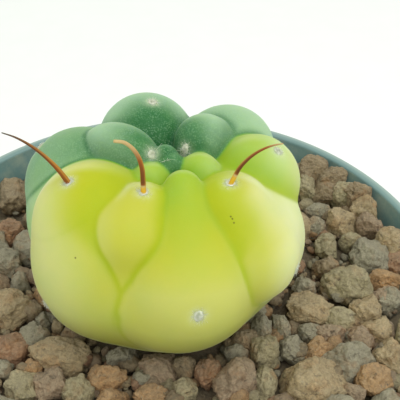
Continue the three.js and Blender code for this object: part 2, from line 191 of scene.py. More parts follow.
def smoothPath(points, steps):
    # Catmull-Rom curve through the points
    p = np.asarray(points, float)
    p = np.vstack([2 * p[0] - p[1], p, 2 * p[-1] - p[-2]])
    path = []
    for k in range(1, len(p) - 2):
        for t in np.linspace(0, 1, steps, endpoint=False):
            a, b, c, d = p[k - 1], p[k], p[k + 1], p[k + 2]
            path.append(0.5 * (2 * b + (c - a) * t + (2 * a - 5 * b + 4 * c - d) * t ** 2
                               + (3 * b - a - 3 * c + d) * t ** 3))
    path.append(p[-2])
    return np.array(path)


def tube(path, radii, sides, first=(0.1, 1, 0.2)):
    # a closed round strand whose rings start on the side first and follow the path without twisting
    path = np.asarray(path, float)
    tangents = unit(np.gradient(path, axis=0))
    normal = np.array(first, float)
    points = []
    turn = np.arange(sides) * 2 * math.pi / sides
    for middle, tangent, radius in zip(path, tangents, radii):
        normal = unit(normal - tangent * normal.dot(tangent))
        side = np.cross(tangent, normal)
        points.extend(middle + radius * (np.cos(a) * normal + np.sin(a) * side) for a in turn)
    ends = [range(sides)[::-1], range(len(points) - sides, len(points))]
    return np.array(points), ringFaces(len(path), sides) + ends


# camera, light and floor
shot = {
    "place": (6.04, -76.41, rimHeight + 79.52),
    "pitchDown": 40,  # degrees
    "lens": 63,
    "sensor": 36,
}
studio = {
    "sky": "#FBFFFA",
    "skyStrength": 0.84,
    "softboxPower": 1.6,  # watts
    "softboxSize": 0.55,  # metres
    "softboxPlace": (0.12, -0.16, 0.57),
    "paper": ((0.3, "#FAFBF8"), (0.7, "#FCFDFA")),
    "floorSize": 4,  # metres
}


def setUpStudio():
    scene = bpy.context.scene
    camera = addObject("camera", bpy.data.cameras.new("camera"))
    camera.data.lens = shot["lens"]
    camera.data.sensor_width = shot["sensor"]
    camera.data.clip_start = 0.005
    camera.location = Vector(shot["place"]) * mm
    camera.rotation_euler = (math.radians(90 - shot["pitchDown"]), 0, 0)
    scene.camera = camera

    world = bpy.data.worlds.new("studio")
    world.use_nodes = True
    connect(world.node_tree, world.node_tree.nodes["Background"],
            {"Color": toLinear(studio["sky"]), "Strength": studio["skyStrength"]})
    scene.world = world
    scene.view_settings.view_transform = "Standard"

    softbox = addObject("softbox", bpy.data.lights.new("softbox", "AREA"))
    softbox.data.energy = studio["softboxPower"]
    softbox.data.size = studio["softboxSize"]
    softbox.location = studio["softboxPlace"]
    aim = Vector((0, 0, rimHeight * mm)) - softbox.location
    softbox.rotation_euler = aim.to_track_quat("-Z", "Y").to_euler()

    # matt white paper
    paper, tree, shader = newMaterial("seamlessPaper", {"Roughness": 0.9})
    grain = addNode(tree, "TexNoise", {"Scale": cellScale(3), "Detail": 4})
    connect(tree, shader, {"Base Color": addNode(tree, "ValToRGB", [grain], studio["paper"])})
    half = studio["floorSize"] / 2 / mm
    floor = addMesh("floor", [(-half, -half, 0), (half, -half, 0), (half, half, 0), (-half, half, 0)], [(0, 1, 2, 3)])
    floor.data.materials.append(paper)


# pot
potForm = {
    "wall": 1.7,  # at the rim
    "lipRounds": (0.35, 0.6),  # outside and inside
    "bandHeight": 8.5,
    "bandStep": 1.1,  # the band stands this far out of the wall
    "footRadius": 31,
    "footRingWidth": 4,
    "footDiscRadius": 12,
    "footRecess": 1.6,
    "floorTop": 3.2,
    "floorInnerRadius": 29.2,
    "drainHoles": 8,
    "drainRadius": 3.5,
    "drainCircleRadius": 19.5,
    "sides": 160,
    "wallRows": 14,
    "insideRows": 16,
    "sharpAngle": 38,  # edges turned by more degrees than this stay sharp
}
rimInnerRadius = rimRadius - potForm["wall"]


def innerRadiusAt(height):
    share = (height - potForm["floorTop"]) / (rimHeight - potForm["floorTop"])
    return between((potForm["floorInnerRadius"], rimInnerRadius), share)


def pottedPlastic():
    # polypropylene, injection moulded: a satin slate-teal skin, paler along the lip's outer half as a painted
    # highlight, with chalky water marks inside that also carry some painted warm light bounced from the grit, and a
    # faint moulded orange peel
    look = {
        # lip is the colour of the painted highlight along the lip
        "wall": ((0.36, "#648583"), (0.7, "#728F8C")), "lip": "#9AAEA5", "chalkAndBounceLight": "#B4B69C",
        "noises": ((14, 5, 0.6), (5, 8, 0.75), (0.6, 3, 0.5)),  # clouds, chalk, peel: mm, detail, roughness
    }
    material, tree, shader = newMaterial("polypropyleneSlateTeal", {"IOR": 1.49})
    place = addNode(tree, "NewGeometry")
    height = addNode(tree, "SeparateXYZ", [place], out="Z")
    cloud, blotch, peel = [
        addNode(tree, "TexNoise", {"Vector": place, "Scale": cellScale(size), "Detail": detail, "Roughness": rough})
        for size, detail, rough in look["noises"]]
    # painted highlight along the lip's outer half
    flat = addNode(tree, "VectorMath", (place, (1, 1, 0)), operation="MULTIPLY")
    reach = addNode(tree, "VectorMath", [flat], out="Value", operation="LENGTH")
    lipHighlightBand = addNode(tree, "MapRange", (reach, (rimRadius - 1.1) * mm, (rimRadius - 0.5) * mm, 0.2, 0.85))
    lip = addNode(tree, "MapRange", (height, (rimHeight - 0.3) * mm, (rimHeight - 0.02) * mm, 0, lipHighlightBand),
                  interpolation_type="SMOOTHSTEP")
    # chalk left by hard water on the inner wall, its share raised to also paint in warm light bounced from the grit
    facing = addNode(tree, "VectorMath", (addNode(tree, "NewGeometry", out="Normal"), place), out="Value",
                     operation="DOT_PRODUCT")
    inside = addNode(tree, "MapRange", (facing, 0, -0.005, 0, 0.42))
    chalkAndBounceLight = addNode(tree, "MapRange", (blotch, 0.44, 0.7, 0, inside))
    colour = addNode(tree, "ValToRGB", [cloud], look["wall"])
    for share, name in ((lip, "lip"), (chalkAndBounceLight, "chalkAndBounceLight")):
        colour = addNode(tree, "Mix", {0: share, 6: colour, 7: toLinear(look[name])}, out=2, data_type="RGBA")
    connect(tree, shader, {
        "Base Color": colour,
        "Roughness": addNode(tree, "MapRange", (cloud, 0.3, 0.7, 0.36, 0.52)),
        "Normal": addNode(tree, "Bump", {"Height": peel, "Strength": 0.25, "Distance": 0.05 * mm}),
    })
    return material


def makePot():
    f = potForm
    quarter = [math.pi / 2 * step / 6 for step in range(7)]
    outer, inner = f["lipRounds"]
    lip = [(rimRadius - outer * (1 - math.cos(a)), rimHeight - outer * (1 - math.sin(a))) for a in quarter]
    lip += [(rimInnerRadius + inner * (1 - math.sin(a)), rimHeight - inner * (1 - math.cos(a))) for a in quarter]
    foot, disc, recess = f["footRadius"], f["footDiscRadius"], f["footRecess"]
    ring = foot - f["footRingWidth"]
    bandFoot = rimHeight - f["bandHeight"]
    wallTop = rimRadius - f["bandStep"]
    wall = [(between((foot, wallTop - 0.2), k / f["wallRows"]), between((1, bandFoot), k / f["wallRows"]))
            for k in range(f["wallRows"] + 1)]
    inside = [(innerRadiusAt(h), h) for h in np.linspace(rimHeight - 1.6, f["floorTop"] + 1.2, f["insideRows"])]
    profile = [
        (0, 0), (disc - 0.3, 0), (disc, 0.2), (disc + recess, recess - 0.1), (disc + recess + 0.3, recess),
        (ring - recess - 0.3, recess), (ring - recess, recess - 0.1), (ring - 0.2, 0.15), (ring, 0),
        (foot - 1, 0), (foot - 0.3, 0.3),
        *wall,
        (wallTop - 0.05, bandFoot + 0.1), (rimRadius - 0.45, bandFoot + 0.45), (rimRadius - 0.2, bandFoot + 0.8),
        (rimRadius - 0.1, bandFoot + 2),
        *lip, *inside,
        (f["floorInnerRadius"] + 0.15, f["floorTop"] + 0.5), (f["floorInnerRadius"] - 0.6, f["floorTop"]),
        (0, f["floorTop"]),
    ]
    pot = makePiece("round_pot", *turned(profile, f["sides"]), pottedPlastic(), "pot_plastic", ["pot"])

    drill, drillFaces = turned([(0, -2), (f["drainRadius"], -2), (f["drainRadius"], 6), (0, 6)], 32)
    turns = [2 * math.pi * k / f["drainHoles"] for k in range(f["drainHoles"])]
    cutter = addMesh("drills", *joined([
        (drill + (f["drainCircleRadius"] * math.cos(a), f["drainCircleRadius"] * math.sin(a), 0), drillFaces)
        for a in turns]))
    cut = pot.modifiers.new("drainHoles", "BOOLEAN")
    cut.operation = "DIFFERENCE"
    cut.object = cutter
    cut.solver = "EXACT"
    cutMesh = bpy.data.meshes.new_from_object(pot.evaluated_get(bpy.context.evaluated_depsgraph_get()))
    pot.modifiers.remove(cut)
    pot.data = cutMesh
    pot.data.set_sharp_from_angle(angle=math.radians(f["sharpAngle"]))
    bpy.data.objects.remove(cutter)


# plant
plant = {
    "centre": (1.1, 0.0, rimHeight + 10.8),
    "softBlend": 0.8,
    "sharpBlend": 0.35,
    "outside": 25,
    "marchSteps": 26,
    "marchShare": 0.85,
    "columns": 400,
    "rowsShown": 200,
    "rowsHidden": 16,
    "shownDownTo": -42,  # degrees of elevation
    "creaseWidth": 0.35,
    "creaseStrength": (0.13, 0.06),  # of the painted shade line: beside a young tubercle and between old ribs
    "creaseFade": (-4, 6),  # heights over which the painted crease shade comes out, from half its strength at the foot
    "foldWidth": 0.42,
    "foldStrength": 0.88,
    "foldGreen": 0.2,  # how much less the painted fold shade darkens green tissue
    "slightGirth": 2.2,  # a lobe no thicker than this casts painted shade on its neighbour no farther than foldWidth
    "foldShadeHeights": (0.2, 0.8),  # shares of a lobe's height over which its painted crease shade spreads out
    "greenRise": 1.5,
    "paleFrom": (0.1, -0.45),  # on yellow and on green tissue
    "paleOver": (0.8, 0.85),
    "backSheenShare": 0.42,  # painted sheen on yellow tissue that faces the back, whole at a slope of backTurn
    "backTurn": 0.2,
    "traitBlends": (1, 0.25),  # how softly colours run between broad lobes, and between all others
    "feltWidth": 0.95,  # of the pale down round an areole
    "footShadeHeight": (2.5, 9.5),  # above the rim: where the painted shade at the foot is whole, and where it has faded out
    "footShadeGreen": 0.6,  # how much less it shows on green tissue
    "dimple": 0.22,
    "dimpleWidth": 1.3,
    "rootSides": 48,
    "taproot": ((0, -38.5), (1.3, -38.5), (4.05, -29.4), (7.74, -20.3), (9, -12.5), (0, -12.5)),
}

# Ribs and tubercles from the body's centre. radii are outward, sideways, up, and a fourth for the upper half.
# green is how green the tissue is at the foot and at the top of each. pale is how washed out it is, by wax bloom and
# painted sheen, where it faces the plant's middle and where it faces away, or faces paleWay, and paleFoot what the
# foot has on top of that. deep is how far painted shade, a richer and darker colour, spreads from a crease with a
# lobe that stands before it, less so at the foot. Lobes of one rib have no crease between them.
lobes = [
    {"at": (0, 0, -1), "radii": (17.9, 17.9, 16.8, 8.3), "soft": True,
     "green": (0.1, 0.2), "deep": 1, "pale": (0.05, 0.2)},
    {"at": (0.3, 0, -8), "radii": (14.5, 14.3, 9.6), "soft": True,
     "green": (0.1, 0.1), "deep": 1, "pale": (0.1, 0.2)},
    {"at": (-7.5, -6.1, -0.7), "radii": (11, 10.8, 12.5), "heading": -141, "soft": True,
     "green": (0.02, 0.05), "deep": 0.6, "pale": (0.12, 0.6), "paleFoot": 0.3, "paleWay": -165},
    {"at": (9.5, -2.5, 0.2), "radii": (10.4, 9.6, 10.5), "heading": -15, "soft": True,
     "green": (0.05, 0.12), "deep": 4.5, "pale": (0, 1.15), "paleFoot": 0.4, "paleWay": 0},
    {"at": (8.5, 4, -1.3), "radii": (10.3, 10, 11), "heading": 25, "soft": True,
     "green": (0.25, 0.35), "deep": 0.4, "pale": (0.3, 0.8)},
    {"at": (1.6, 9.3, -1.3), "radii": (10.3, 10, 11), "heading": 80, "soft": True,
     "green": (0.9, 1), "deep": 0.4, "pale": (0.2, 0.5)},
    {"at": (-6, 7.2, -1.3), "radii": (10.3, 10, 11), "heading": 130, "soft": True,
     "green": (0.9, 1), "deep": 0.4, "pale": (0.2, 0.5)},
    {"at": (-10.1, 1.2, -0.4), "radii": (10.5, 8.6, 11.2), "heading": 173, "soft": True,
     "green": (0.7, 0.95), "deep": 0.3, "pale": (0.2, 0.8)},
    {"at": (-3.2, 11.6, 6.5), "radii": (7.4, 7.4, 7.7), "heading": 104, "rise": 20,
     "green": (1, 1), "deep": 0.9, "pale": (0, 0.9)},
    {"at": (8.9, 10.6, 4.9), "radii": (7.8, 7.5, 7.4), "heading": 52, "rise": 20,
     "green": (0.9, 0.95), "deep": 0.8, "pale": (0.5, 0.92)},
    {"at": (5.5, 6.2, 10.5), "radii": (4.6, 4, 3.9), "heading": 52, "rise": -20,
     "green": (1, 0.95), "deep": 2.6, "pale": (0.1, 0.9)},
    {"at": (-6.1, 3.6, 10.6), "radii": (5.8, 3.8, 3.9), "heading": 150,
     "green": (1, 0.95), "deep": 2.6, "pale": (0.05, 0.9)},
    {"at": (-12.1, 5, 2.9), "radii": (9, 8.6, 9.2), "heading": 156,
     "green": (0.95, 0.9), "deep": 0.3, "pale": (0.15, 0.47)},
    {"at": (-9.7, -5.2, 6), "radii": (7.7, 7.1, 7.5), "heading": -155, "soft": True, "rib": "left",
     "green": (0, 0), "deep": 5.5, "pale": (0, 0.6), "paleWay": -165},
    {"at": (12.9, 2.2, 6.4), "radii": (6.3, 6.6, 6.7), "heading": 14,
     "green": (0, 0.4), "deep": 3.2, "pale": (0.15, 0.68), "paleWay": -15},
    {"at": (2.4, -9.4, -1.4), "radii": (10.1, 11.2, 10.3), "heading": -75, "rib": "bell",
     "green": (0, 0.03), "deep": 1, "pale": (0, 0.22), "paleFoot": 0.5},
    {"at": (4.9, -0.6, 10.1), "radii": (2.8, 2.8, 2.6), "heading": 20,
     "green": (0.3, 0.42), "deep": 1.2, "pale": (0.1, 0.3)},
    {"at": (-1.6, -2.2, 9.8), "radii": (2.6, 2.6, 2.4), "heading": -130,
     "green": (0.25, 0.4), "deep": 1.2, "pale": (0.1, 0.3)},
    {"at": (0.2, 1.5, 11.1), "radii": (1.6, 1.6, 1.8),
     "green": (0.95, 0.95), "deep": 2, "pale": (0, 0.2)},
    {"at": (1.1, -0.1, 10.8), "radii": (1.7, 1.7, 1.7), "green": (0.9, 0.9), "deep": 2, "pale": (0, 0.2)},
    {"from": (-2.3, -7.8, 9.7), "fromRadius": 3.5, "to": (-3.8, -10.2, 7.3), "toRadius": 5.1, "rib": "middle",
     "green": (0, 0.04), "deep": 1.5, "pale": (0.12, 0.36), "paleWay": 180},
    {"from": (-3.8, -10.2, 7.3), "fromRadius": 5.1, "to": (-5.2, -15.9, 1.5), "toRadius": 0.5, "rib": "middle",
     "green": (0, 0), "deep": 1.5, "pale": (0.12, 0.36), "paleWay": 180},
    {"from": (2.7, -5.5, 11.1), "fromRadius": 2.5, "to": (3.3, -11.3, 0.8), "toRadius": 9, "rib": "bell",
     "green": (0, 0.38), "deep": 1.2, "pale": (0, 0.02), "paleFoot": 0.32},
    {"from": (9, -6.2, 8.1), "fromRadius": 4.9, "to": (11.8, -9.1, 2.9), "toRadius": 6.4, "soft": True,
     "green": (0, 0.04), "deep": 5, "pale": (0.12, 0.75), "paleFoot": 0.12, "paleWay": 0},
]

# Areoles: heading and elevation in degrees, seen from the body's centre.
areoles = {
    "back": (100, 51), "backRight": (52, 18), "innerRight": (42, 72), "innerLeft": (156, 82),
    "outerLeft": (159, 24), "frontLeft": (-152, 44), "frontMiddle": (-104.5, 56.6), "frontRight": (-36, 50),
    "outerRight": (5, 38), "lowFront": (-76.5, 7.5), "lowRight": (-32, 5), "lowFrontLeft": (-143, -11),
    "lowLeft": (176, -14), "lowBackLeft": (131, -6), "lowBack": (82, -6), "lowBackRight": (27, -6),
}


def lobeDistance(points, lobe):
    # signed distance and the share of the lobe's own height, 0 at its foot
    if "from" in lobe:
        start = np.array(lobe["from"], float)
        along = np.array(lobe["to"], float) - start
        length = np.linalg.norm(along)
        offset = points - start
        taper = (lobe["fromRadius"] - lobe["toRadius"]) / length
        lean = math.sqrt(1 - taper ** 2)
        axial = offset @ along / length
        radial = np.sqrt(np.maximum((offset ** 2).sum(-1) - axial ** 2, 0))
        side = axial * lean - radial * taper
        distance = np.where(
            side < 0, np.hypot(axial, radial) - lobe["fromRadius"],
            np.where(side > length * lean, np.hypot(axial - length, radial) - lobe["toRadius"],
                     axial * taper + radial * lean - lobe["fromRadius"]))
        return distance, 1 - np.clip(axial / length, 0, 1)
    out = direction(lobe.get("heading", 0), lobe.get("rise", 0))
    side = direction(lobe.get("heading", 0) + 90, 0)
    local = (points - np.array(lobe["at"])) @ np.stack([out, side, np.cross(out, side)], 1)
    lower, upper = lobe["radii"][2], lobe["radii"][-1]
    radii = np.empty_like(local)
    radii[:, :2] = lobe["radii"][:2]
    radii[:, 2] = np.where(local[:, 2] > 0, upper, lower)
    once = np.linalg.norm(local / radii, axis=-1)
    twice = np.linalg.norm(local / radii ** 2, axis=-1)
    return once * (once - 1) / np.maximum(twice, 1e-6), np.clip((local[:, 2] + lower) / (lower + upper), 0, 1)


def blended(distances, softness):
    nearest = distances.min(-1)
    return nearest - softness * np.log(np.exp((nearest[:, None] - distances) / softness).sum(-1))


def groupDistances(points):
    # the broad lobes melted into one, then each young tubercle by itself
    distances = [lobeDistance(points, lobe)[0] for lobe in lobes]
    soft = [d for d, lobe in zip(distances, lobes) if "soft" in lobe]
    sharp = [d for d, lobe in zip(distances, lobes) if "soft" not in lobe]
    return np.stack([blended(np.stack(soft, -1), plant["softBlend"]), *sharp], -1)


def ribDistances(points):
    # for each rib: its distance, whether it is a young tubercle, how far forward it stands and its girth
    ribs = {}
    for number, lobe in enumerate(lobes):
        name = lobe.get("rib", "base" if "soft" in lobe else number)
        forward = -lobe.get("at", lobe.get("from"))[1]
        girth = lobe["radii"][1] if "radii" in lobe else max(lobe["fromRadius"], lobe["toRadius"])
        distance, sharp, front, widest = ribs.get(name, (np.inf, False, forward, 0))
        distance = np.minimum(distance, lobeDistance(points, lobe)[0])
        ribs[name] = distance, sharp or "soft" not in lobe, front, max(widest, girth)
    distances, sharp, front, girth = zip(*ribs.values())
    return np.stack(distances, -1), np.array(sharp), np.array(front), np.array(girth)


def creases(points, deep):
    # the first result: painted shade near the crease with a rib, deep into the rib behind it and narrow in the one in
    # front;
    # the second: a thin painted shade line along the crease itself
    steps = np.eye(3) * 0.2
    distances, sharp, front, girth = ribDistances(points)
    nearest = distances.argmin(-1)[:, None]
    slopes = np.stack([ribDistances(points + step)[0] - ribDistances(points - step)[0] for step in steps]) / 0.4
    slopes -= np.take_along_axis(slopes, nearest[None], -1)
    gaps = distances - np.take_along_axis(distances, nearest, -1)
    apart = gaps / np.maximum(np.linalg.norm(slopes, axis=0), 0.2)
    apart[np.arange(len(points)), nearest[:, 0]] = 99
    isSharp = sharp[nearest] | sharp[None]
    isBehind = front[nearest] < front[None]
    # a small lobe casts less painted shade on its neighbour than a big one
    most = np.maximum(plant["foldWidth"], 2 * (girth - plant["slightGirth"]))
    reach = np.minimum(deep[:, None], np.where(isBehind, most[None], plant["foldWidth"]))
    foldShade = np.where(isSharp, np.exp(-(apart / reach) ** 2), 0).max(-1)
    strength = np.where(isSharp, *plant["creaseStrength"])
    return foldShade, (strength * np.exp(-(apart / plant["creaseWidth"]) ** 2)).max(-1)


def skinDistance(points):
    return blended(groupDistances(points), plant["sharpBlend"])


def skinRadius(directions):
    radius = np.full(len(directions), float(plant["outside"]))
    for step in range(plant["marchSteps"]):
        radius -= plant["marchShare"] * skinDistance(directions * radius[:, None])
    return radius


def skinPoint(heading, elevation):
    # a point on the skin, and the way out of it there
    out = direction(heading, elevation)
    point = out * skinRadius(out[None])[0]
    slope = [skinDistance((point + step)[None])[0] - skinDistance((point - step)[None])[0]
             for step in np.eye(3) * 0.3]
    return point, unit(np.array(slope))


def cactusSkin():
    # waxy cuticle over watery tissue: lime yellow where the leaf green is missing and deep green where it isn't,
    # with painted shade making it richer and darker towards the creases; light soaks in a little, wax bloom and a
    # painted sheen pale the outer sides, down whitens the skin round each areole, and painted shade darkens and
    # browns the foot near the grit
    look = {
        "tissue": ((0.0, "#BABB20"), (0.3, "#A4B828"), (0.5, "#8CB63E"), (0.75, "#4E8C46"), (1.0, "#316E3C")),
        # painted shade in the creases: richer and darker than the tissue
        "foldShade": ((0.0, "#ACB80C"), (0.3, "#92B216"), (0.5, "#78A82A"), (0.75, "#347438"), (1.0, "#1E5E30")),
        # painted shade along the crease lines
        "creaseShadeLine": ((0.0, "#9CAA12"), (0.5, "#6A9A30"), (1.0, "#32703E")),
        # wax bloom and painted sheen on the outer sides
        "bloomAndSheen": ((0.0, "#DADCA2"), (0.5, "#BAD292"), (1.0, "#9EC09A")),
        "frost": "#A8CCA2",
        "felt": "#DEE6C8",
        # painted shade: darkens and browns the foot near the grit
        "dust": "#7C7414",
        "cork": "#4A4418",
        "marks": ((9.0, -10.7, 10.5), (9.2, -11, 10.1), (8.8, -10.5, 10.7), (-10.6, -14.2, 7.1)),  # from the centre
        "markRadius": 0.11,
        "noises": ((5, 4, 0.5), (1.4, 3, 0.5), (0.5, 4, 0.7)),  # drift, patches, wisps: mm, detail, roughness
        "pimple": 0.26,  # mm apart
    }
    material, tree, shader = newMaterial("cactusCuticle", {
        "IOR": 1.42, "Specular IOR Level": 0.22, "Sheen Weight": 0.25, "Sheen Roughness": 0.14,
        "Sheen Tint": toLinear("#E0F2DA"), "Subsurface Weight": 0.45, "Subsurface Radius": (1, 0.9, 0.25),
        "Subsurface Scale": 1.6 * mm,
    })
    shader.subsurface_method = "RANDOM_WALK"
    place = addNode(tree, "NewGeometry")
    green, pale, foldShade, creaseShadeLine, dust, felt = [
        addNode(tree, "Attribute", attribute_name=name, out="Fac")
        for name in ("green", "pale", "foldShade", "creaseShadeLine", "dust", "felt")]
    drift, patch, wisp = [
        addNode(tree, "TexNoise", {"Vector": place, "Scale": cellScale(size), "Detail": detail, "Roughness": rough})
        for size, detail, rough in look["noises"]]

    # the green wanders a little over some millimetres
    wander = addNode(tree, "MapRange", (drift, 0.3, 0.7, -0.06, 0.06))
    amount = addNode(tree, "Math", (green, wander), operation="ADD", use_clamp=True)

    # frost of pimples, plain on the green and faint on the yellow
    pimple = addNode(tree, "TexVoronoi", {"Vector": place, "Scale": cellScale(look["pimple"])})
    frost = dot = addNode(tree, "MapRange", (pimple, 0.1, 0.6, 1, 0))
    patchShare = addNode(tree, "MapRange", (patch, 0.35, 0.65, 0.25))
    greenShare = addNode(tree, "MapRange", (amount, 0.3, 1, 0.02, 0.32))
    # down round the areoles, in wisps
    wispShare = addNode(tree, "MapRange", (wisp, 0.35, 0.65, 0.4, 0.95))
    for share in (greenShare, patchShare):
        frost = addNode(tree, "Math", (frost, share), operation="MULTIPLY")
    # dust here carries the painted shade at the foot, at 0.62 of its share
    felt, dust = [addNode(tree, "Math", pair, operation="MULTIPLY") for pair in ((felt, wispShare), (dust, 0.62))]

    coats = [(pale, "bloomAndSheen"), (foldShade, "foldShade"), (creaseShadeLine, "creaseShadeLine"), (frost, "frost"), (felt, "felt"), (dust, "dust")]
    # the few corky marks
    for point in look["marks"]:
        middle = np.add(point, plant["centre"]) * mm
        apart = addNode(tree, "VectorMath", (place, middle.tolist()), out="Value", operation="DISTANCE")
        radius = look["markRadius"] * mm
        coats.append((addNode(tree, "MapRange", (apart, radius * 0.5, radius * 1.6, 0.8, 0)), "cork"))
    colour = addNode(tree, "ValToRGB", [amount], look["tissue"])
    for share, name in coats:
        coat = look[name]
        over = toLinear(coat) if isinstance(coat, str) else addNode(tree, "ValToRGB", [amount], coat)
        colour = addNode(tree, "Mix", {0: share, 6: colour, 7: over}, out=2, data_type="RGBA")
    connect(tree, shader, {
        "Base Color": colour,
        "Roughness": addNode(tree, "MapRange", (drift, 0.3, 0.7, 0.44, 0.56)),
        "Normal": addNode(tree, "Bump", {"Height": dot, "Strength": 0.2, "Distance": 0.025 * mm}),
    })
    return material


def averaged(traits, chosen, softness):
    # each trait as the mean over the chosen lobes, the nearest counting most
    distance = traits["distance"][:, chosen]
    weights = np.exp((distance.min(-1, keepdims=True) - distance) / softness)
    weights /= weights.sum(-1, keepdims=True)
    means = {name: (values[:, chosen] * weights).sum(-1) for name, values in traits.items()}
    return means | {"distance": distance.min(-1)}


def makeBody():
    p = plant
    elevations = np.concatenate([
        np.linspace(90, p["shownDownTo"], p["rowsShown"])[1:],
        np.linspace(p["shownDownTo"], -90, p["rowsHidden"])[1:-1],
    ])
    headings = np.arange(p["columns"]) * 360 / p["columns"]
    a, e = np.meshgrid(np.radians(headings), np.radians(elevations))
    ways = np.stack([np.cos(a) * np.cos(e), np.sin(a) * np.cos(e), np.sin(e)], -1).reshape(-1, 3)
    ways = np.vstack([ways, (0, 0, 1), (0, 0, -1)])
    radius = skinRadius(ways)
    points = ways * radius[:, None]

    steps = np.eye(3) * 0.2
    slopes = np.stack([skinDistance(points + step) - skinDistance(points - step) for step in steps], -1)
    outward = unit(slopes)
    fromAxis = points[:, :2] / np.maximum(np.hypot(points[:, 0], points[:, 1]), 1)[:, None]
    away = (outward[:, :2] * fromAxis).sum(-1)
    traits = {"distance": [], "green": [], "pale": [], "deep": []}
    for lobe in lobes:
        distance, height = lobeDistance(points, lobe)
        green = between(lobe["green"], height ** p["greenRise"])
        # the wax bloom and painted sheen reach farther in on the green ones
        facing = outward @ direction(lobe["paleWay"], 0) if "paleWay" in lobe else away
        facing = np.clip((facing - between(p["paleFrom"], green)) / between(p["paleOver"], green), 0, 1)
        facing = facing ** 2 * (3 - 2 * facing)
        traits["distance"].append(distance)
        traits["green"].append(green)
        traits["pale"].append(between(lobe["pale"], facing) + lobe.get("paleFoot", 0) * (1 - height) ** 3)
        traits["deep"].append(lobe["deep"] * np.interp(height, p["foldShadeHeights"], (0.1, 1)))
    traits = {name: np.stack(values, -1) for name, values in traits.items()}
    isSoft = np.array(["soft" in lobe for lobe in lobes])
    softest = averaged(traits, isSoft, p["traitBlends"][0])
    sharpest = {name: np.column_stack([softest[name], values[:, ~isSoft]]) for name, values in traits.items()}
    traits = averaged(sharpest, slice(None), p["traitBlends"][1])
    # painted shade at the creases: a broad fold and a thin line
    foldShade, creaseShadeLine = creases(points, traits["deep"])
    fade = np.interp(points[:, 2], p["creaseFade"], (0.5, 1))
    # painted sheen on yellow tissue whose outward side faces the back
    backSheen = np.clip(outward[:, 1] / p["backTurn"], 0, 1) * p["backSheenShare"] * (1 - traits["green"])
    values = {
        "green": traits["green"],
        "pale": traits["pale"] + backSheen,
        "foldShade": foldShade * fade * p["foldStrength"] * (1 - p["foldGreen"] * traits["green"]),
        "creaseShadeLine": creaseShadeLine * fade,
        # painted shade at the foot, fading upwards from the grit
        "dust": np.interp(points[:, 2] + p["centre"][2] - rimHeight, p["footShadeHeight"], (1, 0))
        * (1 - p["footShadeGreen"] * traits["green"]),
        "felt": np.zeros(len(points)),
    }

    for heading, elevation in areoles.values():
        point, out = skinPoint(heading, elevation)
        apart = np.linalg.norm(points - point, axis=1)
        points -= out * (p["dimple"] * np.exp(-(apart / p["dimpleWidth"]) ** 2))[:, None]
        values["felt"] = np.maximum(values["felt"], np.exp(-(apart / p["feltWidth"]) ** 2))

    columns = p["columns"]
    faces = [(a, d, c, b) for a, b, c, d in ringFaces(len(elevations), columns)]
    top, last = len(points) - 2, len(points) - 2 - columns
    for k in range(columns):
        after = (k + 1) % columns
        faces += [(top, k, after), (top + 1, last + after, last + k)]
    root, rootFaces = turned(p["taproot"], p["rootSides"])
    allPoints, allFaces = joined([(points, faces), (root, rootFaces)])
    values = {name: np.append(value, np.zeros(len(root))) for name, value in values.items()}
    makePiece("cactus_skin", allPoints + p["centre"], allFaces, cactusSkin(), "cactus_skin",
              ["cactus_body"], values)


# areole wool
wool = {
    "padRadius": (0.6, 0.6),
    "longPads": {"innerRight": (0.5, 1.05), "lowFront": (0.6, 0.75)},
    "padHeight": 0.1,
    "padLift": 0.04,  # above the bottom of the skin's dimple
    "padLumps": 0.3,
    "hairs": 260,
    "hairSpread": 0.62,  # of the pad's radius, so that the wool thins out towards its edge
    "hairLength": (0.2, 0.5),
    "hairThickness": 0.016,
    "hairMess": 0.45,
    "hairCurl": 0.35,
    "hairDroop": 0.3,
    "lie": 0.4,  # how far a hair stands up for its way outwards
    "bristles": {"innerRight": 12, "innerLeft": 3},
    "bristleLength": (0.8, 1.8),
    "bristleThickness": 0.022,
    "bristleRise": (0.3, 0.8),
    "bristleCurl": 0.25,
    "crownAt": (0.36, -0.74, 12.26),
    "crownBristles": 9,
    "crownRise": (0.1, 0.6),
    "crownCurl": 0.3,
    "crownLength": 0.7,  # for a bristle's
    "seed": 31,
}


def areoleWool():
    # short felted plant hairs: matt white with a soft halo, a little greenish cream where they are packed
    material, tree, shader = newMaterial("areoleFelt", {"Roughness": 0.85, "IOR": 1.45, "Sheen Weight": 0.3,
                                                        "Sheen Roughness": 0.5})
    tuft = addNode(tree, "TexNoise", {"Vector": addNode(tree, "NewGeometry"), "Scale": cellScale(0.35), "Detail": 4})
    colour = addNode(tree, "ValToRGB", [tuft], ((0.3, "#CDD4B4"), (0.6, "#ECEDDC")))
    connect(tree, shader, {"Base Color": colour})
    return material


def hair(start, way, curl, length, thickness, tip, sides):
    # leaves along way and bends towards curl
    shares = np.linspace(0, 1, 5)
    path = [start + way * length * share + curl * length * share ** 2 for share in shares]
    return tube(path, thickness * np.linspace(1, tip, 5), sides)


